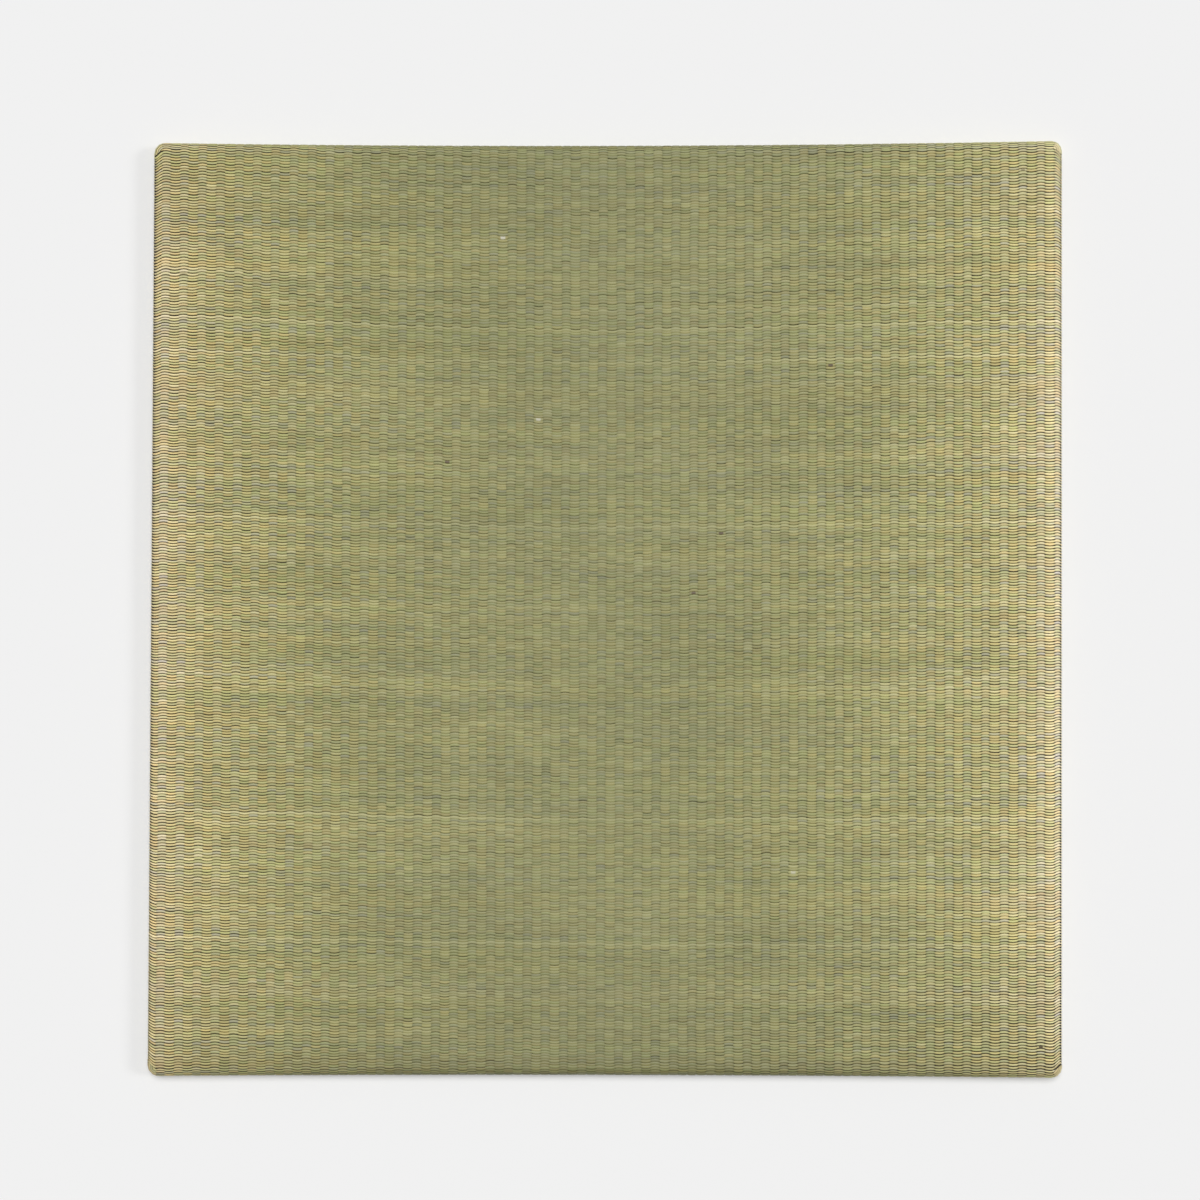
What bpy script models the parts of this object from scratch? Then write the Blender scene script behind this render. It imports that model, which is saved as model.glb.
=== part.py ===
# Borderless tatami mat: a woven rush facing wrapped over a hidden core.
# Metres, +Z up, origin under the middle of the mat, +X along the rushes, +Y along the columns.

import math

import bmesh
import bpy

# The plan. The left side slants, the right side is a little deeper, and the far and near sides
# bow inward, as they do on a soft mat.
RIGHT_X = 0.4112
LEFT_NEAR_X = -0.4112
LEFT_FAR_X = -0.4051
LEFT_HALF_DEPTH = 0.4197
RIGHT_HALF_DEPTH = 0.4215
FAR_BOW = 0.0036
NEAR_BOW = 0.0018

THICKNESS = 0.020
CORNER_RADIUS = 0.0100
CORNER_STEPS = 4
TOP_EDGE_RADIUS = 0.0080
TOP_EDGE_STEPS = 4
BOTTOM_EDGE_RADIUS = 0.0030
BOTTOM_EDGE_STEPS = 2

# The weave. Each column of rush floats is a raised rib with a valley on either side. RIB_LINES are
# the places across one rib that get a line of points, and RIB_SINKS how deep each of them lies.
COLUMNS = 100
VALLEY_DEPTH = 0.0007
RIB_LINES = (0.0, 0.30, 0.70, 1.0)
RIB_SINKS = (1.0, 0.12, 0.12, 1.0)
RIB_FOOT = 0.004
SIDE_FADE = 0.012
TOP_SPANS = 6

# The base block is square to the axes. shape_plan then moves its points to the real outline.
WIDTH = 2 * RIGHT_X
DEPTH = 2 * RIGHT_HALF_DEPTH
COLUMN = WIDTH / COLUMNS

RUSH_COLOUR = (0.33, 0.30, 0.14, 1.0)
RUSH_ROUGHNESS = 0.55
CREASE_DEGREES = 50
CUT_MERGE = 1e-5
HAIR = 1e-6


def clear_scene():
    for old in list(bpy.data.objects):
        bpy.data.objects.remove(old, do_unlink=True)


def rush_material():
    material = bpy.data.materials.new("woven_rush")
    material.use_nodes = True
    surface = material.node_tree.nodes["Principled BSDF"]
    surface.inputs["Base Color"].default_value = RUSH_COLOUR
    surface.inputs["Roughness"].default_value = RUSH_ROUGHNESS
    surface.inputs["Metallic"].default_value = 0.0
    return material


def between(start, end, share):
    return start + (end - start) * share


def is_upright(edge):
    return abs(edge.verts[0].co.z - edge.verts[1].co.z) > THICKNESS / 2


def is_level(edge, height):
    return all(abs(vert.co.z - height) < HAIR for vert in edge.verts)


def round_edges(bm, edges, radius, steps):
    bmesh.ops.bevel(bm, geom=edges, offset=radius, segments=steps, profile=0.5, affect="EDGES")


def make_block():
    """The mat as a block with rounded plan corners and rounded upper and lower edges."""
    bm = bmesh.new()
    bmesh.ops.create_cube(bm, size=1.0)
    bmesh.ops.scale(bm, vec=(WIDTH, DEPTH, THICKNESS), verts=bm.verts)
    bmesh.ops.translate(bm, vec=(0.0, 0.0, THICKNESS / 2), verts=bm.verts)
    round_edges(bm, [e for e in bm.edges if is_upright(e)], CORNER_RADIUS, CORNER_STEPS)
    round_edges(bm, [e for e in bm.edges if is_level(e, THICKNESS)], TOP_EDGE_RADIUS, TOP_EDGE_STEPS)
    round_edges(bm, [e for e in bm.edges if is_level(e, 0.0)], BOTTOM_EDGE_RADIUS, BOTTOM_EDGE_STEPS)
    return bm


def is_top(face):
    return face.normal.z > 0.9


def is_side_wall(face):
    return abs(face.normal.x) > 0.9


def carries_columns(face):
    """The top, the far and near walls, and the rounded edges between them."""
    faces_far_or_near = abs(face.normal.y) > 0.1
    return is_top(face) or abs(face.normal.y) > 0.9 or (face.normal.z > 0.1 and faces_far_or_near)


def cut(bm, wanted, point, normal):
    """Cut the wanted faces along a plane. Their neighbours gain the points but no edges."""
    bm.normal_update()
    faces = [f for f in bm.faces if wanted(f)]
    edges = list({e for f in faces for e in f.edges})
    verts = list({v for f in faces for v in f.verts})
    bmesh.ops.bisect_plane(bm, geom=faces + edges + verts, dist=CUT_MERGE, plane_co=point,
                           plane_no=normal)


def cut_rib_lines(bm):
    """Lines along every column, over the top and down the far and near walls."""
    straight_half = WIDTH / 2 - CORNER_RADIUS
    for column in range(COLUMNS):
        for line in RIB_LINES[:-1]:
            x = (column + line) * COLUMN - WIDTH / 2
            if abs(x) < straight_half:
                cut(bm, carries_columns, (x, 0.0, 0.0), (1.0, 0.0, 0.0))


def wall_distance(z):
    """How far along the facing, from the mat's middle, a height on the left or right wall lies."""
    flat_half = WIDTH / 2 - TOP_EDGE_RADIUS
    over_edge = TOP_EDGE_RADIUS * math.pi / 2
    return flat_half + over_edge + THICKNESS - TOP_EDGE_RADIUS - z


def cut_side_ribs(bm):
    """On the left and right walls the columns lie one below the other."""
    wall_top = THICKNESS - TOP_EDGE_RADIUS
    to_valley = COLUMN - wall_distance(wall_top) % COLUMN
    z = wall_top - to_valley + COLUMN / 2
    while z > BOTTOM_EDGE_RADIUS:
        cut(bm, is_side_wall, (0.0, 0.0, z), (0.0, 0.0, 1.0))
        z -= COLUMN / 2


def cut_top_spans(bm):
    for span in range(1, TOP_SPANS):
        y = between(-DEPTH / 2, DEPTH / 2, span / TOP_SPANS)
        cut(bm, is_top, (0.0, y, 0.0), (0.0, 1.0, 0.0))


def sink_at(distance):
    """How far a point lies below the ribs' crowns, at a distance across them."""
    share = (distance / COLUMN) % 1.0
    for i in range(len(RIB_LINES) - 1):
        if share <= RIB_LINES[i + 1]:
            along = (share - RIB_LINES[i]) / (RIB_LINES[i + 1] - RIB_LINES[i])
            return VALLEY_DEPTH * between(RIB_SINKS[i], RIB_SINKS[i + 1], along)
    return 0.0


def rib_sink(vert):
    """How far this point of the block moves inward to form the ribs."""
    x, y, z = vert.co
    foot = max(0.0, min(1.0, (z - BOTTOM_EDGE_RADIUS) / RIB_FOOT))
    side_room = WIDTH / 2 - abs(x)
    end_room = DEPTH / 2 - abs(y)
    if side_room > TOP_EDGE_RADIUS + HAIR:
        return sink_at(x + WIDTH / 2) * foot * min(1.0, (side_room - TOP_EDGE_RADIUS) / SIDE_FADE)
    if side_room < HAIR and end_room > CORNER_RADIUS - HAIR:
        return sink_at(wall_distance(z)) * foot
    return 0.0


def raise_ribs(bm):
    bm.normal_update()
    for vert in bm.verts:
        vert.co -= vert.normal * rib_sink(vert)


def bow(share):
    """One at the middle of a side and nothing at its ends."""
    return 1.0 - (2.0 * share - 1.0) ** 2


def shape_plan(bm):
    """Move the square block's points to the mat's uneven outline."""
    for vert in bm.verts:
        across = (vert.co.x + WIDTH / 2) / WIDTH
        along = (vert.co.y + DEPTH / 2) / DEPTH
        half_depth = between(LEFT_HALF_DEPTH, RIGHT_HALF_DEPTH, across)
        near_y = NEAR_BOW * bow(across) - half_depth
        far_y = half_depth - FAR_BOW * bow(across)
        vert.co.x = between(between(LEFT_NEAR_X, LEFT_FAR_X, along), RIGHT_X, across)
        vert.co.y = between(near_y, far_y, along)


def make_mat(collection):
    bm = make_block()
    cut_side_ribs(bm)
    cut_rib_lines(bm)
    cut_top_spans(bm)
    raise_ribs(bm)
    shape_plan(bm)
    mesh = bpy.data.meshes.new("tatami_mat")
    bm.to_mesh(mesh)
    bm.free()
    mesh.shade_smooth()
    mesh.set_sharp_from_angle(angle=math.radians(CREASE_DEGREES))
    mesh.materials.append(rush_material())
    collection.objects.link(bpy.data.objects.new("tatami_mat", mesh))


def main():
    clear_scene()
    collection = bpy.data.collections.new("tatami_mat_parts")
    bpy.context.scene.collection.children.link(collection)
    make_mat(collection)


main()
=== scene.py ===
# The tatami mat's looks: every float of the woven rush facing, the padded body under it, and a
# plain pale floor. Metres, in the frame's own axes: +X along the rushes, +Y along the columns.

import math

import bmesh
import bpy
import numpy as np
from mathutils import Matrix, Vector


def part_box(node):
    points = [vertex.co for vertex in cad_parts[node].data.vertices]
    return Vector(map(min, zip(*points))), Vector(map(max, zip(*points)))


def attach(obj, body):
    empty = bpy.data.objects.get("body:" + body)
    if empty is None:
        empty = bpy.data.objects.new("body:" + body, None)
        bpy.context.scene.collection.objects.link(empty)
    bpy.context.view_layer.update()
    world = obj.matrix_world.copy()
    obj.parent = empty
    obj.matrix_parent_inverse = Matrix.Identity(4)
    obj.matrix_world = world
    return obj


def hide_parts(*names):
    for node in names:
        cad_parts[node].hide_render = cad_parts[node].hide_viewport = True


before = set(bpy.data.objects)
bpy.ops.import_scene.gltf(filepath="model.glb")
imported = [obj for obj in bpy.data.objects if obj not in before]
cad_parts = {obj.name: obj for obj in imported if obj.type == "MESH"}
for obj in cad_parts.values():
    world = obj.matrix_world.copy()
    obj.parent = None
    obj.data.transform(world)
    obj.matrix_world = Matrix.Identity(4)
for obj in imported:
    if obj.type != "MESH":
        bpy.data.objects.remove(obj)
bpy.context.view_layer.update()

NODE = "tatami_mat"
LOW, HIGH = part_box(NODE)
WIDTH = HIGH[0] - LOW[0]
DEPTH = HIGH[1] - LOW[1]
THICKNESS = HIGH[2] - LOW[2]

# The outline, as in the CAD: the left side slants, the left end is less deep than the right, and
# the far and near sides bow inward.
LEFT_SLANT = 0.0061
LEFT_SHORTER = 0.0018
FAR_BOW = 0.0036
NEAR_BOW = 0.0018
CORNER_RADIUS = 0.0100
TOP_EDGE_RADIUS = 0.0080
BOTTOM_EDGE_RADIUS = 0.0030

# The flat of the top, measured along the facing from the middle, and what wraps over the edges.
FLAT_HALF_WIDTH = WIDTH / 2 - TOP_EDGE_RADIUS
FLAT_HALF_DEPTH = DEPTH / 2 - TOP_EDGE_RADIUS
WALL = THICKNESS - TOP_EDGE_RADIUS - BOTTOM_EDGE_RADIUS
TOP_ARC = TOP_EDGE_RADIUS * math.pi / 2
BOTTOM_ARC = BOTTOM_EDGE_RADIUS * math.pi / 2
WRAP = TOP_ARC + WALL + BOTTOM_ARC
TURNED_UNDER = 0.003

# At a corner the facing of the far and near edges sweeps round on CORNER_RUN of its length. GATHER
# is the share by which the rows close up as they go over a side edge, and CORNER_PULL how much
# further a corner draws its own rows down, over CORNER_REACH of the side.
INNER_CORNER = CORNER_RADIUS - TOP_EDGE_RADIUS
CORNER_START = WIDTH / 2 - CORNER_RADIUS
CORNER_RUN = 0.0100
GATHER = 0.0065
CORNER_PULL = 0.0022
CORNER_REACH = 0.022

# The weave. Rushes run along X and float over one column and under the next, and the columns take
# turns at half a step up and half a step down, so the rows read as waves. The tips of each float
# reach a little past its column, and WIDER is the share by which the odd columns are wider.
COLUMNS_ACROSS = 100
COLUMN = WIDTH / COLUMNS_ACROSS
ROW = 0.002532
HALF_COLUMNS = math.ceil((FLAT_HALF_WIDTH + WRAP + TURNED_UNDER) / COLUMN)
LAST_ROW = FLAT_HALF_DEPTH + WRAP + TURNED_UNDER
WAVE = 0.50
TIP_OVERLAP = 1.08
WIDER = (0.015, 0.050)
FACING_BLOCKS = (4, 3)

# The rows aren't straight. From the left side to the right they sag towards the near side, most at
# the middle, and more at the far end than at the near one. SAG_SHAPE goes from SAG_START to SAG_END,
# and SLANT is how much nearer the rows end than they start.
SAG_SHAPE = (0.0, 0.29, 0.70, 0.92, 1.0, 0.73, 0.45, 0.17, 0.0)
SAG_START = -0.385
SAG_END = 0.389
SAG_SMOOTHING = 0.025
SAG = 0.0066
SAG_GROWTH = 0.0090
SLANT = 0.0061
SLANT_GROWTH = -0.0025
EXTRA_ROWS = 6
HALF_ROWS = math.ceil(LAST_ROW / ROW) + EXTRA_ROWS

# Each float is a small strip. ALONG are its points along the rush, from end to end, and ACROSS
# those over its round back, with BACK how high each of them stands.
ALONG = np.array([-1.0, -0.58, 0.0, 0.58, 1.0])
ACROSS = np.array([-1.0, -0.42, 0.42, 1.0])
BACK = np.array([0.0, 1.0, 1.0, 0.0])

# The rushes are thin and pale near their ends, at the mat's sides, and broad, green and pressed
# flat in the middle. MARGIN is how far in from a side the change reaches, and RELIEF_REACH lets
# the gaps reach further in than the paleness does. Of each pair here and in WIDTH_SHARE and WIDER,
# the first number holds in the middle and the second at a side.
MARGIN = 0.14
RELIEF_REACH = 0.6
BACK_HEIGHT = (0.00022, 0.00085)
TIP_DIVE = (0.00035, 0.00030)
TIP_TAPER = (0.10, 0.06)
MIXED = (0.70, 0.25)
ODD_HIGHER = 0.1

# A float's width as a share of a row, and where it differs: the odd columns have narrower floats,
# those at the right are wider with narrower tips, and those near the near right corner narrower.
WIDTH_SHARE = (1.05, 0.70)
ODD_NARROWER = 0.03
RIGHT_REACH = 0.36
RIGHT_WIDER = 0.055
RIGHT_TAPER = 0.18
NEAR_RIGHT_START = 0.28
NEAR_RIGHT_RUN = 0.12
NEAR_RIGHT_NARROWER = 0.08

# What holds on the left and right walls, beyond the far and near ends of the flat, and at a corner.
# TIP_SHARPNESS is how close to a float's tips its taper and dive begin, on the top and on a wall.
WALL_WIDTH = 1.05
WALL_DIVE = 0.0003
WALL_TAPER = 0.65
END_WIDTH = 0.90
END_HEIGHT = 0.35
CORNER_WIDTH = 1.20
TIP_SHARPNESS = (5, 3)

# How much rushes and floats differ, as standard deviations. The first three are shares of a row.
SEED = 11
ROW_SHIFT = 0.014
RUSH_SHIFT = 0.018
FLOAT_SHIFT = 0.022
COLUMN_EDGE_SHIFT = 0.00012
WIDTH_SPREAD = 0.04
RISE_SPREAD = 0.00004

# Five rows are pale all the way across and stand a little higher than the others.
PALE_ROWS = (285, 273, 214, 109, 64)
PALE_TONE = 0.98
PALE_FLOAT_TONE = 0.97
PALE_RISE = 0.00012

# The rows, as a share of a row, and the columns drift softly over the mat, as a sum of long waves.
ROW_DRIFT = 0.35
ROW_DRIFT_LENGTH = 0.09
COLUMN_DRIFT = 0.00035
COLUMN_DRIFT_LENGTH = 0.07
DRIFT_WAVES = 7
DRIFT_LENGTHS = (0.6, 1.6)
DRIFT_PEAK = 1.5

# The facing lies this far inside the outline and above the floor, and a float fills this much of
# its cell in the bake's UV map.
FACING_INSET = 0.0001
LOWEST = 0.00005
CELL_HALF = 0.46

# How far the body lies inside the facing: along X, along Y and up.
BODY_INSET = (0.00045, 0.0009, 0.0014)
BODY_EDGE_RADIUS = 0.0070
BODY_ROUND_STEPS = 8
BODY_BOTTOM_STEPS = 3
BODY_SPANS = 12
BODY_CREASE_DEGREES = 40
HAIR = 1e-6
CUT_MERGE = 1e-5

# Where the photo's camera stands.
CAMERA_X = -0.0042
CAMERA_Y = 0.0084
CAMERA_HEIGHT = 2.2
PHOTO_WIDTH = 1.0752
SENSOR_WIDTH = 36

# The floor and the soft lights. A light has the way towards it, its strength and its spread.
FLOOR_SIZE = 14
FLOOR_Z = -0.0002
SKY_STRENGTH = 0.15
KEY_LIGHT = ((0.0, 0.27, 1.0), 2.52, 36)
SIDE_LIGHT = ((1.0, 0.1, 0.77), 0.50, 15)


def blend(pair, share):
    return pair[0] + (pair[1] - pair[0]) * share


def ease(share):
    share = np.clip(share, 0, 1)
    return share * share * (3 - 2 * share)


def smooth_noise(rng, x, y, wavelength):
    """A soft uneven field from -1 to 1: a few long waves in different directions."""
    total = np.zeros(np.broadcast(x, y).shape)
    for _ in range(DRIFT_WAVES):
        turn = rng.uniform(0, 2 * math.pi)
        length = wavelength * rng.uniform(*DRIFT_LENGTHS)
        phase = rng.uniform(0, 2 * math.pi)
        along = x * math.cos(turn) + y * math.sin(turn)
        total += np.sin(2 * math.pi * along / length + phase)
    return total / math.sqrt(DRIFT_WAVES) / DRIFT_PEAK


def bow(share):
    return 1.0 - (2.0 * share - 1.0) ** 2


def to_outline(x, y):
    """From the square block to the mat's uneven outline."""
    across = x / WIDTH + 0.5
    along = y / DEPTH + 0.5
    half_depth = DEPTH / 2 - LEFT_SHORTER * (1.0 - across)
    near = NEAR_BOW * bow(across) - half_depth
    far = half_depth - FAR_BOW * bow(across)
    left = -WIDTH / 2 + LEFT_SLANT * along
    return left + (WIDTH / 2 - left) * across, near + (far - near) * along


def over_edge(over):
    """The facing's path over an edge: how far it goes out and down, and the way it faces."""
    top = np.clip(over / TOP_EDGE_RADIUS, 0, math.pi / 2)
    down = np.clip(over - TOP_ARC, 0, WALL)
    low = np.clip((over - TOP_ARC - WALL) / BOTTOM_EDGE_RADIUS, 0, math.pi / 2)
    under = np.clip(over - WRAP, 0, None)
    out = TOP_EDGE_RADIUS * np.sin(top) - BOTTOM_EDGE_RADIUS * (1 - np.cos(low)) - under
    drop = TOP_EDGE_RADIUS * (1 - np.cos(top)) + down + BOTTOM_EDGE_RADIUS * np.sin(low)
    turn = top + low
    return out, drop, np.sin(turn), np.cos(turn)


def gather(u, v):
    """How far a row is drawn towards the middle at u across and v along, both from the middle."""
    pull = CORNER_PULL * np.exp(-np.clip(FLAT_HALF_DEPTH - v, 0, None) / CORNER_REACH)
    return ease((u - CORNER_START) / CORNER_RADIUS) * (GATHER * v + pull)


def last_side_row():
    """How far the side's last row lies from the corner's middle, and at which turn round it."""
    u = np.linspace(CORNER_START, FLAT_HALF_WIDTH + TOP_ARC, 60)
    out = over_edge(np.clip(u - FLAT_HALF_WIDTH, 0, None))[0]
    across = np.minimum(u, FLAT_HALF_WIDTH) - CORNER_START + out
    along = INNER_CORNER - gather(u, FLAT_HALF_DEPTH)
    return np.hypot(across, along), np.minimum(np.arctan2(across, along), math.pi / 2)


def sweep(u, out, over):
    """Where a far or near row lies as it goes round a corner to meet the side's last row."""
    radius = INNER_CORNER + out
    arc = radius * np.interp(radius, *last_side_row())
    gathered = gather(FLAT_HALF_WIDTH + over, FLAT_HALF_DEPTH)
    share = np.clip((u - CORNER_START) / CORNER_RUN, 0, 1)
    run = share * (arc + np.clip(gathered - INNER_CORNER, 0, None))
    turn = np.minimum(run, arc) / radius
    return radius * np.sin(turn), radius * np.cos(turn) - np.clip(run - arc, 0, None)


def place(s, t, height):
    """A point of the facing: s and t are lengths along it from the middle, height is its rise."""
    u, v = np.abs(s), np.abs(t)
    over_end = v > FLAT_HALF_DEPTH
    over = np.where(over_end, v - FLAT_HALF_DEPTH, np.clip(u - FLAT_HALF_WIDTH, 0, None))
    out, drop, lean, rise = over_edge(over)
    out = out + lean * height

    round_x, round_y = sweep(u, out, over)
    end_x = np.minimum(u, CORNER_START) + round_x
    end_y = DEPTH / 2 - CORNER_RADIUS + round_y
    side_x = np.minimum(u, FLAT_HALF_WIDTH) + out
    side_y = v - gather(u, v)

    x = np.where(over_end, end_x, side_x) * np.sign(s)
    y = np.where(over_end, end_y, side_y) * np.sign(t)
    x, y = to_outline(x, y)
    return x, y, THICKNESS - drop + rise * height


def margin_at(s):
    """One at the mat's left and right sides, falling towards nothing in the middle."""
    return np.exp(-np.clip(FLAT_HALF_WIDTH - np.abs(s), 0, None) / MARGIN)


class Rushes:
    """What differs from rush to rush and from float to float, the same each run."""

    def __init__(self):
        rng = np.random.default_rng(SEED)
        columns = 2 * HALF_COLUMNS
        rows = 2 * HALF_ROWS
        self.shift = rng.normal(0, ROW_SHIFT, (1, rows)) + rng.normal(0, RUSH_SHIFT, (2, rows))
        self.nudge = rng.normal(0, FLOAT_SHIFT, (columns, rows))
        self.edge = rng.normal(0, COLUMN_EDGE_SHIFT, columns + 1)
        self.tone = rng.random((2, rows))
        self.float_tone = rng.random((columns, rows))
        self.blotch = rng.random((columns, rows)) - 0.5
        self.width = rng.normal(1.0, WIDTH_SPREAD, (columns, rows))
        self.rise = rng.normal(0, RISE_SPREAD, (columns, rows))
        self.field_seed = int(rng.integers(1 << 30))
        self.set_pale_rows()

    def set_pale_rows(self):
        self.tone[:, PALE_ROWS] = PALE_TONE
        self.float_tone[:, PALE_ROWS] = PALE_FLOAT_TONE
        self.blotch[:, PALE_ROWS] = 0.0
        self.rise[:, PALE_ROWS] += PALE_RISE


RUSHES = Rushes()


def column_edge(c):
    """Where column c begins along the facing. The odd columns are a little wider."""
    s = (c - HALF_COLUMNS) * COLUMN
    wider = COLUMN * blend(WIDER, margin_at(s))
    return s + np.where(c % 2 == 1, -wider, wider) + RUSHES.edge[c]


def sag(s, t):
    """How far a row lies towards the near side of where it starts at the left."""
    places = np.linspace(SAG_START, SAG_END, len(SAG_SHAPE))
    shifts = (-SAG_SMOOTHING, 0, SAG_SMOOTHING)
    shape = sum(np.interp(s + shift, places, SAG_SHAPE) for shift in shifts) / len(shifts)
    across = np.clip((s - SAG_START) / (SAG_END - SAG_START), 0, 1)
    return shape * (SAG + SAG_GROWTH * t) + across * (SLANT + SLANT_GROWTH * t)


def fold(value):
    """Back into the range from 0 to 1, as if mirrored at its ends."""
    return 1 - np.abs(1 - value % 2)


def mesh_from_grid(name, points, faces, bake_uv, values):
    """A mesh from arrays: points, four-sided faces, the bake's UV map and named point values."""
    mesh = bpy.data.meshes.new(name)
    mesh.vertices.add(len(points))
    mesh.vertices.foreach_set("co", points.astype(np.float32).ravel())
    mesh.loops.add(faces.size)
    mesh.loops.foreach_set("vertex_index", faces.astype(np.int32).ravel())
    mesh.polygons.add(len(faces))
    mesh.polygons.foreach_set("loop_start", np.arange(0, faces.size, 4, dtype=np.int32))
    mesh.update(calc_edges=True)
    uv = mesh.uv_layers.new(name="OFBake")
    uv.data.foreach_set("uv", bake_uv[faces.ravel()].astype(np.float32).ravel())
    for key, value in values.items():
        layer = mesh.attributes.new(key, "FLOAT", "POINT")
        layer.data.foreach_set("value", value.astype(np.float32).ravel())
    mesh.shade_smooth()
    return mesh


def keep_beside_corner(s, t, mid_s, mid_t):
    """Past the flat, a row belongs to the side or to the end, so its points stay on one of them."""
    beside = np.minimum(np.abs(t), FLAT_HALF_DEPTH)
    beyond = np.maximum(np.abs(t), FLAT_HALF_DEPTH + HAIR)
    kept = np.where(np.abs(mid_t) < FLAT_HALF_DEPTH, beside, beyond) * np.sign(t)
    return np.where(np.abs(mid_s) > FLAT_HALF_WIDTH, kept, t)


def each(values):
    """One value a float, in a shape that spreads over the float's grid of points."""
    return values[:, None, None]


A = ALONG[None, :, None]
B = ACROSS[None, None, :]
RISE = BACK[None, None, :]


class Floats:
    """The floats of some columns and rows that lie on the mat, and what holds for each of them."""

    def __init__(self, columns, rows):
        column, row = (grid.ravel() for grid in np.meshgrid(columns, rows, indexing="ij"))
        start, end = column_edge(column), column_edge(column + 1)
        mid_s = (start + end) / 2
        line_t = (row + 0.5 - HALF_ROWS) * ROW
        mid_t = line_t - sag(mid_s, line_t)
        beside_corner = np.abs(mid_s) < CORNER_START + CORNER_RUN
        on_mat = (np.abs(mid_t) < FLAT_HALF_DEPTH) | (beside_corner & (np.abs(mid_t) < LAST_ROW))

        self.column, self.row = column[on_mat], row[on_mat]
        self.half_s = each((end - start)[on_mat] / 2)
        self.mid_s, self.mid_t = each(mid_s[on_mat]), each(mid_t[on_mat])
        self.line_t = each(line_t[on_mat])
        self.odd = each(self.column % 2)
        self.margin = margin_at(self.mid_s)
        self.relief = self.margin ** RELIEF_REACH
        self.parity = (1 - 2 * self.odd) * self.relief
        self.right = np.clip(self.mid_s / RIGHT_REACH, 0, 1)
        self.on_end = np.abs(self.mid_t) > FLAT_HALF_DEPTH
        past_side = np.abs(self.mid_s) > CORNER_START
        self.at_corner = past_side & (np.abs(self.mid_t) > FLAT_HALF_DEPTH - ROW)

    def half_width(self):
        """Half of each float's width at its middle, before chance and the walls change it."""
        near_right = self.right * np.clip((-self.mid_t - NEAR_RIGHT_START) / NEAR_RIGHT_RUN, 0, 1)
        share = blend(WIDTH_SHARE, self.relief)
        share = share + ODD_NARROWER * self.parity + RIGHT_WIDER * self.right
        share = share - NEAR_RIGHT_NARROWER * near_right
        on_rim = np.where(self.at_corner, CORNER_WIDTH, np.where(self.on_end, END_WIDTH, 1))
        return ROW / 2 * (share * on_rim)

    def lay(self):
        """Each point's lengths s and t along the facing, its line in the row grid, and its height."""
        s = self.mid_s + A * self.half_s * TIP_OVERLAP + 0 * B
        wall = np.clip((np.abs(s) - FLAT_HALF_WIDTH) / COLUMN, 0, 1) * ~self.on_end
        near_tip = np.abs(A) ** blend(TIP_SHARPNESS, wall) * ~self.at_corner
        narrowed = blend(TIP_TAPER, self.margin) + RIGHT_TAPER * self.right
        taper = 1 - blend((narrowed, WALL_TAPER), wall) * near_tip
        half = self.half_width() * blend((1, WALL_WIDTH), wall)
        half = half * each(RUSHES.width[self.column, self.row])

        wave = WAVE * (0.5 - self.odd) * np.cos(A * math.pi / 2)
        shift = RUSHES.shift[self.column % 2, self.row]
        wave = wave + each(shift + RUSHES.nudge[self.column, self.row])
        line = self.line_t + ROW * wave + B * half * taper
        rng = np.random.default_rng(RUSHES.field_seed)
        line = line + ROW * ROW_DRIFT * smooth_noise(rng, s, line, ROW_DRIFT_LENGTH)
        s = s + COLUMN_DRIFT * smooth_noise(rng, s, line, COLUMN_DRIFT_LENGTH)
        t = keep_beside_corner(s, line - sag(s, self.line_t), self.mid_s, self.mid_t)

        dive = blend((blend(TIP_DIVE, self.margin), WALL_DIVE), wall) * near_tip
        high = blend(BACK_HEIGHT, self.relief) * (1 - ODD_HIGHER * self.parity)
        high = high * np.where(self.on_end, END_HEIGHT, 1)
        rise = each(RUSHES.rise[self.column, self.row])
        return s, t, line, high * (RISE - 1) - dive + rise - FACING_INSET

    def shader_values(self, s, t, line):
        """What the rush material reads at each point."""
        every = np.ones(s.shape)
        mixed = blend(MIXED, self.margin) * each(RUSHES.blotch[self.column, self.row])
        tone = each(RUSHES.tone[self.column % 2, self.row])
        return {
            "margin": margin_at(s),
            "rush_tone": fold(tone + mixed) * every,
            "float_tone": each(RUSHES.float_tone[self.column, self.row]) * every,
            "tip": (1 - 2 * self.odd) * A * every,
            "odd": self.odd * every,
            "across": s,
            "along": t,
            "line": line,
        }

    def bake_map(self, columns, rows):
        """A small cell of the bake's UV map for each float."""
        across = each(self.column - columns[0]) + 0.5 + CELL_HALF * A + 0 * B
        along = each(self.row - rows[0]) + 0.5 + CELL_HALF * B + 0 * A
        return np.stack([across / len(columns), along / len(rows)], axis=-1)


def grid_faces(floats, along, across):
    """Four-sided faces over every float's grid of points."""
    index = np.arange(floats * along * across).reshape(floats, along, across)
    corners = (index[:, :-1, :-1], index[:, 1:, :-1], index[:, 1:, 1:], index[:, :-1, 1:])
    return np.stack(corners, axis=-1).reshape(-1, 4)


def weave_block(name, columns, rows):
    """The floats of some columns and rows, joined as one mesh, and the block's flat size."""
    floats = Floats(columns, rows)
    s, t, line, height = floats.lay()
    x, y, z = place(s, t, height)
    points = np.stack([x, y, np.maximum(z, LOWEST)], axis=-1)
    faces = grid_faces(*s.shape)
    uv = floats.bake_map(columns, rows)
    values = floats.shader_values(s, t, line)
    mesh = mesh_from_grid(name, points.reshape(-1, 3), faces, uv.reshape(-1, 2), values)
    piece = bpy.data.objects.new(name, mesh)
    bpy.context.scene.collection.objects.link(piece)
    mean_rows = len(floats.row) / len(columns)
    return piece, (len(columns) * COLUMN, mean_rows * ROW)


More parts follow.
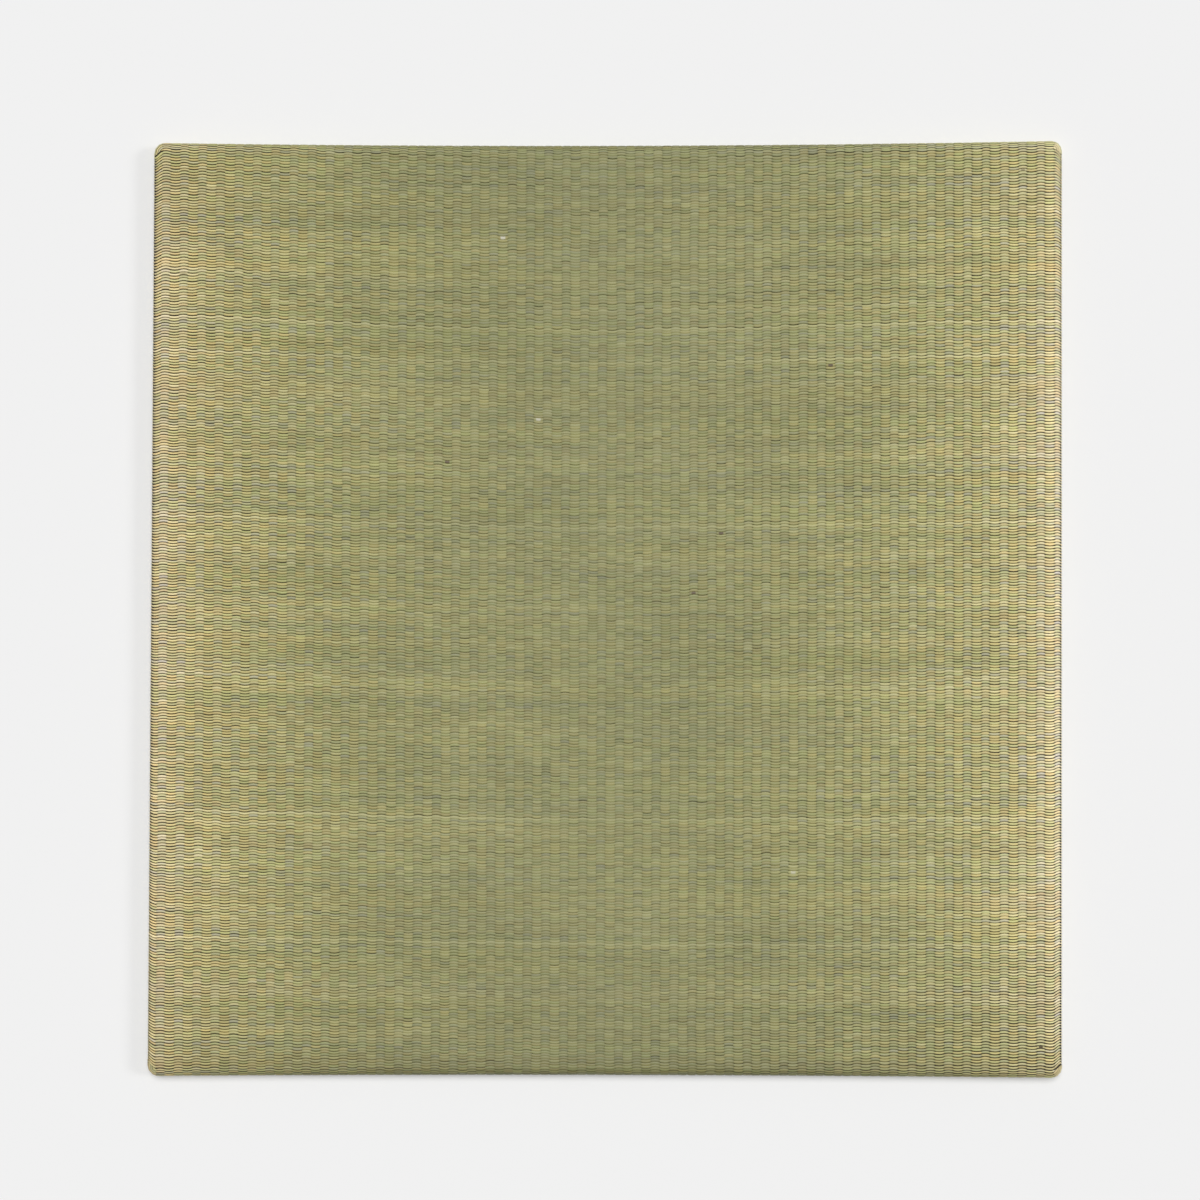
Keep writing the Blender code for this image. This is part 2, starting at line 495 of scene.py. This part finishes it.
class Nodes:
    """Short ways to add shader nodes to one material."""

    def __init__(self, name):
        self.material = bpy.data.materials.new(name)
        self.material.use_nodes = True
        self.tree = self.material.node_tree
        self.surface = self.tree.nodes["Principled BSDF"]

    def link(self, source, target):
        self.tree.links.new(source, target)

    def fill(self, socket, value):
        if isinstance(value, bpy.types.NodeSocket):
            self.link(value, socket)
        else:
            socket.default_value = value

    def value(self, name):
        node = self.tree.nodes.new("ShaderNodeAttribute")
        node.attribute_name = name
        return node.outputs["Fac"]

    def place(self):
        return self.tree.nodes.new("ShaderNodeTexCoord").outputs["Object"]

    def stretch(self, vector, scale, shift=(0, 0, 0)):
        node = self.tree.nodes.new("ShaderNodeMapping")
        self.link(vector, node.inputs["Vector"])
        node.inputs["Scale"].default_value = scale
        node.inputs["Location"].default_value = shift
        return node.outputs["Vector"]

    def noise(self, vector, detail=2.0, roughness=0.5):
        node = self.tree.nodes.new("ShaderNodeTexNoise")
        self.link(vector, node.inputs["Vector"])
        node.inputs["Scale"].default_value = 1.0
        node.inputs["Detail"].default_value = detail
        node.inputs["Roughness"].default_value = roughness
        return node.outputs["Fac"]

    def math(self, operation, first, second=0.0):
        node = self.tree.nodes.new("ShaderNodeMath")
        node.operation = operation
        self.fill(node.inputs[0], first)
        self.fill(node.inputs[1], second)
        return node.outputs[0]

    def remap(self, value, low, high, to_low=0.0, to_high=1.0):
        node = self.tree.nodes.new("ShaderNodeMapRange")
        self.fill(node.inputs["Value"], value)
        node.inputs["From Min"].default_value = low
        node.inputs["From Max"].default_value = high
        node.inputs["To Min"].default_value = to_low
        node.inputs["To Max"].default_value = to_high
        return node.outputs["Result"]

    def ramp(self, share, stops):
        node = self.tree.nodes.new("ShaderNodeValToRGB")
        self.fill(node.inputs["Fac"], share)
        elements = node.color_ramp.elements
        elements[0].position, elements[0].color = stops[0]
        elements[1].position, elements[1].color = stops[-1]
        for position, colour in stops[1:-1]:
            elements.new(position).color = colour
        return node.outputs["Color"]

    def mix(self, share, first, second, how="MIX"):
        node = self.tree.nodes.new("ShaderNodeMix")
        node.data_type = "RGBA"
        node.blend_type = how
        self.fill(node.inputs[0], share)
        self.fill(node.inputs[6], first)
        self.fill(node.inputs[7], second)
        return node.outputs[2]

    def combine(self, x, y, z):
        node = self.tree.nodes.new("ShaderNodeCombineXYZ")
        self.fill(node.inputs[0], x)
        self.fill(node.inputs[1], y)
        self.fill(node.inputs[2], z)
        return node.outputs[0]

    def bump(self, height, distance, strength=1.0):
        node = self.tree.nodes.new("ShaderNodeBump")
        self.link(height, node.inputs["Height"])
        node.inputs["Distance"].default_value = distance
        node.inputs["Strength"].default_value = strength
        self.link(node.outputs["Normal"], self.surface.inputs["Normal"])


# The rush's colour from the middle of the mat (0) to its sides (1).
RIPENESS = (
    (0.05, (0.260, 0.256, 0.108, 1)),
    (0.15, (0.303, 0.295, 0.127, 1)),
    (0.28, (0.357, 0.344, 0.151, 1)),
    (0.43, (0.436, 0.412, 0.187, 1)),
    (0.60, (0.520, 0.480, 0.224, 1)),
    (0.80, (0.645, 0.578, 0.290, 1)),
    (1.00, (0.795, 0.695, 0.412, 1)),
)

# How single rushes differ: grey, yellow-green, plain, orange and cream, as factors.
RUSH_TINTS = (
    (0.00, (0.79, 0.81, 0.97, 1)),
    (0.14, (0.82, 0.89, 0.71, 1)),
    (0.40, (0.90, 0.91, 0.78, 1)),
    (0.64, (0.99, 0.875, 0.70, 1)),
    (0.76, (0.93, 0.89, 0.73, 1)),
    (1.00, (1.03, 1.02, 1.00, 1)),
)
TINT_MEAN = (0.885, 0.88, 0.77, 1)

WHITE = (1, 1, 1, 1)

# Factors on the colour: of the columns, of the mat's sides, which are painted shade on the left and a
# painted bluish sheen on the right, and of bands that run along the rushes.
EVEN_COLUMN = (0.975, 0.98, 1.02, 1)
ODD_COLUMN = (1.075, 1.07, 0.99, 1)
LEFT_SIDE_SHADE = (0.93, 0.915, 0.91, 1)
RIGHT_SIDE_SHEEN = (0.99, 1.00, 1.03, 1)
STREAK_YELLOW = (1.035, 1.03, 0.97, 1)
STREAK_GREY = (0.965, 0.97, 1.005, 1)

# A few floats carry a fleck. FLECK_TIP is how far from a float's middle it fades out, and the tones
# say which floats have one.
FLECK_PALE = (0.50, 0.48, 0.37, 1)
FLECK_DARK = (0.14, 0.105, 0.055, 1)
FLECK_TIP = (0.55, 0.35)
FLECK_PALE_TONES = (0.99990, 0.99993)
FLECK_DARK_TONES = (0.00011, 0.00008)

# The body, which shows only in the gaps. Its near-black colour is partly the core's own brown and
# partly painted shade in the gaps.
BROWN = (0.034, 0.025, 0.014, 1)
GAP_SHADE = (0.012, 0.009, 0.006, 1)
BODY_NOISE = (300, 300, 300)
DULL = 0.9

FLOOR_COLOUR = (0.86, 0.86, 0.86, 1)
FLOOR_SPECULAR = 0.1

# Each noise's scale along the rushes and across the rows, for a place in metres.
CLOUD = (24, 24, 1)
FIBRE = (60, 5200, 1)
DRIFT = (7, 420, 1)
STREAK = (3.5, 55, 1)
PATCH = (6, 9, 1)
REACH = (0.8, 40, 1)

# Most of a noise lies between these two values.
NOISE = (0.3, 0.7)

# How a factor changes over the mat: from one place to another, and from one factor to another. The
# greener and darker far and near ends and the darker near edge are painted shade, where the light
# falls off and the edge turns away from it, and the lighter right edge is a painted highlight.
FAR_GREENER_SHADE = (0.26, 0.42, 1.0, 0.86)
NEAR_GREENER_SHADE = (-0.30, -0.42, 1.0, 0.88)
FAR_PAINTED_SHADE = (0.30, 0.42, 1.0, 0.96)
NEAR_PAINTED_SHADE = (-0.24, -0.40, 1.0, 0.92)
NEAR_EDGE_PAINTED_SHADE = (-0.397, -0.409, 1.0, 0.84)
RIGHT_EDGE_PAINTED_LIGHT = (0.390, 0.402, 1.0, 1.09)

# The painted shade between the columns, where the float tips dive, at an odd or an even column that
# begins to the right of an even or odd one: how dark it is from the middle to the right, and how
# sharp.
LINE_SPAN = (0, 0.36)
ODD_LINE_SHADE = (0.20, 0.28)
EVEN_LINE_SHADE = (0.14, 0.20)
LINE_SHARPNESS = 8.0

RUSH_ROUGHNESS = (0.42, 0.62)
FIBRE_BUMP = (0.00012, 0.6)
BODY_BUMP = (0.0003, 0.5)


def ripeness(nodes, margin, along, run):
    """How far the rush has turned from green to cream; less at the ends, as painted shade."""
    reach = nodes.noise(nodes.stretch(run, REACH, (3, 7, 0)), 1.0)
    patch = nodes.noise(nodes.stretch(run, PATCH, (2, 4, 0)))
    ripe = nodes.math("POWER", margin, nodes.remap(reach, *NOISE, 1.24, 0.82))
    ripe = nodes.math("ADD", ripe, nodes.remap(patch, *NOISE, -0.05, 0.05))
    # Painted shade: the rush turns greener and darker towards the far and near ends.
    ripe = nodes.math("MULTIPLY", ripe, nodes.remap(along, *FAR_GREENER_SHADE))
    return nodes.math("MULTIPLY", ripe, nodes.remap(along, *NEAR_GREENER_SHADE))


def rush_tint(nodes, margin, run):
    """How a rush differs from those beside it, more at the sides than in the middle."""
    drift = nodes.noise(nodes.stretch(run, DRIFT))
    tone = nodes.math("ADD", nodes.value("rush_tone"), nodes.remap(drift, *NOISE, -0.12, 0.12))
    tint = nodes.mix(1.0, nodes.ramp(tone, RUSH_TINTS), TINT_MEAN, "DIVIDE")
    return nodes.mix(nodes.remap(margin, 0, 0.5, 0.52, 0.95), WHITE, tint)


def band_tint(nodes, run):
    streak = nodes.noise(nodes.stretch(run, STREAK, (5, 9, 0)), 3.0, 0.6)
    return nodes.mix(nodes.remap(streak, 0.35, 0.65), STREAK_GREY, STREAK_YELLOW)


def column_tint(nodes, margin):
    odd = nodes.math("MULTIPLY", nodes.value("odd"), nodes.remap(margin, 0, 1, 0.45, 1.0))
    return nodes.mix(odd, EVEN_COLUMN, ODD_COLUMN)


def side_shade_and_sheen(nodes, margin, across):
    # Painted shade on the left side and a painted sheen from the side light on the right.
    side = nodes.mix(nodes.remap(across, -0.05, 0.05), LEFT_SIDE_SHADE, RIGHT_SIDE_SHEEN)
    return nodes.mix(margin, WHITE, side)


def add_flecks(nodes, colour, tip, float_tone):
    middle = nodes.remap(nodes.math("ABSOLUTE", tip), *FLECK_TIP)
    pale = nodes.math("MULTIPLY", middle, nodes.remap(float_tone, *FLECK_PALE_TONES))
    dark = nodes.math("MULTIPLY", middle, nodes.remap(float_tone, *FLECK_DARK_TONES))
    colour = nodes.mix(pale, colour, FLECK_PALE)
    return nodes.mix(dark, colour, FLECK_DARK)


def column_line_shade(nodes, tip, side, across, darkness):
    """The painted shade at one side of the columns, where the tips dive, as a factor on the light."""
    near_tip = nodes.math("MAXIMUM", nodes.math("MULTIPLY", tip, side), 0.0)
    line = nodes.math("POWER", near_tip, LINE_SHARPNESS)
    line = nodes.math("MULTIPLY", line, nodes.remap(across, *LINE_SPAN, *darkness))
    return nodes.math("SUBTRACT", 1.0, line)


# The floats' random tone and grain, with painted shade between the columns and at the far and near
# ends, and a painted highlight on the right edge.
def brightness(nodes, tip, float_tone, fibre, across, along, run):
    cloud = nodes.noise(nodes.stretch(run, CLOUD, (1, 3, 0)), 3.0, 0.6)
    light = nodes.remap(float_tone, 0, 1, 0.88, 1.12)
    factors = (
        nodes.remap(fibre, *NOISE, 0.88, 1.12),
        nodes.remap(cloud, *NOISE, 0.96, 1.04),
        column_line_shade(nodes, tip, 1.0, across, ODD_LINE_SHADE),
        column_line_shade(nodes, tip, -1.0, across, EVEN_LINE_SHADE),
        # Painted shade: darker towards the far and near ends and on the near edge, where the light
        # falls off.
        nodes.remap(along, *FAR_PAINTED_SHADE),
        nodes.remap(along, *NEAR_PAINTED_SHADE),
        nodes.remap(along, *NEAR_EDGE_PAINTED_SHADE),
        # Painted highlight: lighter on the right edge, which faces the side light.
        nodes.remap(across, *RIGHT_EDGE_PAINTED_LIGHT),
    )
    for factor in factors:
        light = nodes.math("MULTIPLY", light, factor)
    return light


def rush_material():
    nodes = Nodes("woven_rush")
    margin = nodes.value("margin")
    float_tone = nodes.value("float_tone")
    tip = nodes.value("tip")
    across, along = nodes.value("across"), nodes.value("along")
    run = nodes.combine(across, nodes.value("line"), 0.0)
    fibre = nodes.noise(nodes.stretch(run, FIBRE), 3.0, 0.6)

    colour = nodes.ramp(ripeness(nodes, margin, along, run), RIPENESS)
    tints = (
        rush_tint(nodes, margin, run),
        band_tint(nodes, run),
        column_tint(nodes, margin),
        side_shade_and_sheen(nodes, margin, across),
    )
    for tint in tints:
        colour = nodes.mix(1.0, colour, tint, "MULTIPLY")
    colour = add_flecks(nodes, colour, tip, float_tone)
    light = brightness(nodes, tip, float_tone, fibre, across, along, run)
    colour = nodes.mix(1.0, colour, nodes.combine(light, light, light), "MULTIPLY")
    nodes.link(colour, nodes.surface.inputs["Base Color"])
    nodes.link(nodes.remap(fibre, 0.2, 0.8, *RUSH_ROUGHNESS), nodes.surface.inputs["Roughness"])
    nodes.bump(fibre, *FIBRE_BUMP)
    return nodes.material


def body_material():
    nodes = Nodes("mat_body")
    weave = nodes.noise(nodes.stretch(nodes.place(), BODY_NOISE), 3.0)
    # Near-black, partly painted shade in the gaps between the rushes.
    nodes.link(nodes.mix(weave, GAP_SHADE, BROWN), nodes.surface.inputs["Base Color"])
    nodes.surface.inputs["Roughness"].default_value = DULL
    nodes.bump(weave, *BODY_BUMP)
    return nodes.material


def floor_material():
    nodes = Nodes("pale_floor")
    nodes.surface.inputs["Base Color"].default_value = FLOOR_COLOUR
    nodes.surface.inputs["Roughness"].default_value = DULL
    nodes.surface.inputs["Specular IOR Level"].default_value = FLOOR_SPECULAR
    return nodes.material


def dress(piece, material):
    piece.data.materials.append(material)
    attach(piece, "root")


def is_level(edge, height):
    return all(abs(vert.co.z - height) < HAIR for vert in edge.verts)


def round_edges(bm, edges, radius, steps):
    bmesh.ops.bevel(bm, geom=edges, offset=radius, segments=steps, profile=0.5, affect="EDGES")


def cut_into_spans(bm):
    """Cuts across the block, so that its long sides can bow."""
    for cut in range(1 - BODY_SPANS // 2, BODY_SPANS // 2):
        whole = bm.verts[:] + bm.edges[:] + bm.faces[:]
        point = (cut * (WIDTH / BODY_SPANS), 0, 0)
        bmesh.ops.bisect_plane(bm, geom=whole, dist=CUT_MERGE, plane_co=point, plane_no=(1, 0, 0))


def make_body():
    """The padded block under the facing, which shows only as the dark between the rushes."""
    bm = bmesh.new()
    bmesh.ops.create_cube(bm, size=1.0)
    aside, ahead, below = BODY_INSET
    size = Vector((WIDTH - 2 * aside, DEPTH - 2 * ahead, THICKNESS - below))
    bmesh.ops.scale(bm, vec=size, verts=bm.verts)
    bmesh.ops.translate(bm, vec=(0, 0, size.z / 2), verts=bm.verts)
    upright = [e for e in bm.edges if abs(e.verts[0].co.z - e.verts[1].co.z) > size.z / 2]
    round_edges(bm, upright, CORNER_RADIUS - aside, BODY_ROUND_STEPS)
    top_rim = [e for e in bm.edges if is_level(e, size.z)]
    round_edges(bm, top_rim, BODY_EDGE_RADIUS, BODY_ROUND_STEPS)
    bottom_rim = [e for e in bm.edges if is_level(e, 0)]
    round_edges(bm, bottom_rim, BOTTOM_EDGE_RADIUS - aside, BODY_BOTTOM_STEPS)
    cut_into_spans(bm)
    for vert in bm.verts:
        vert.co.x, vert.co.y = to_outline(vert.co.x, vert.co.y)
    mesh = bpy.data.meshes.new("mat_body")
    bm.to_mesh(mesh)
    bm.free()
    mesh.shade_smooth()
    mesh.set_sharp_from_angle(angle=math.radians(BODY_CREASE_DEGREES))
    body = bpy.data.objects.new("mat_body", mesh)
    bpy.context.scene.collection.objects.link(body)
    return body


def spans(start, end, parts):
    edges = np.linspace(start, end, parts + 1).round().astype(int)
    return [np.arange(low, high) for low, high in zip(edges[:-1], edges[1:])]


def make_facing(material):
    """The woven facing in blocks of columns and rows."""
    blocks_across, blocks_along = FACING_BLOCKS
    for i, columns in enumerate(spans(0, 2 * HALF_COLUMNS, blocks_across)):
        for j, rows in enumerate(spans(0, 2 * HALF_ROWS, blocks_along)):
            piece, flat = weave_block(f"facing_{i + 1}_{j + 1}", columns, rows)
            dress(piece, material)


def make_stage():
    bpy.ops.mesh.primitive_plane_add(size=FLOOR_SIZE, location=(0, 0, FLOOR_Z))
    floor = bpy.context.object
    floor.name = "floor"
    floor.data.materials.append(floor_material())


def make_camera():
    data = bpy.data.cameras.new("camera")
    data.sensor_width = SENSOR_WIDTH
    data.lens = data.sensor_width * CAMERA_HEIGHT / PHOTO_WIDTH
    camera = bpy.data.objects.new("camera", data)
    camera.location = (CAMERA_X, CAMERA_Y, THICKNESS + CAMERA_HEIGHT)
    bpy.context.scene.collection.objects.link(camera)
    bpy.context.scene.camera = camera


def make_sun(name, towards, strength, spread):
    data = bpy.data.lights.new(name, "SUN")
    data.energy = strength
    data.angle = math.radians(spread)
    lamp = bpy.data.objects.new(name, data)
    lamp.rotation_euler = Vector(towards).to_track_quat("Z", "Y").to_euler()
    bpy.context.scene.collection.objects.link(lamp)


def make_light():
    """A big soft light above and a little beyond the mat, a weak one from the right, and a glow."""
    world = bpy.data.worlds.new("studio")
    world.use_nodes = True
    sky = world.node_tree.nodes["Background"]
    sky.inputs["Color"].default_value = WHITE
    sky.inputs["Strength"].default_value = SKY_STRENGTH
    bpy.context.scene.world = world
    make_sun("key", *KEY_LIGHT)
    make_sun("side", *SIDE_LIGHT)


def main():
    body = make_body()
    dress(body, body_material())
    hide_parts(NODE)
    make_facing(rush_material())
    make_stage()
    make_camera()
    make_light()
    bpy.context.scene.view_settings.view_transform = "Standard"


main()
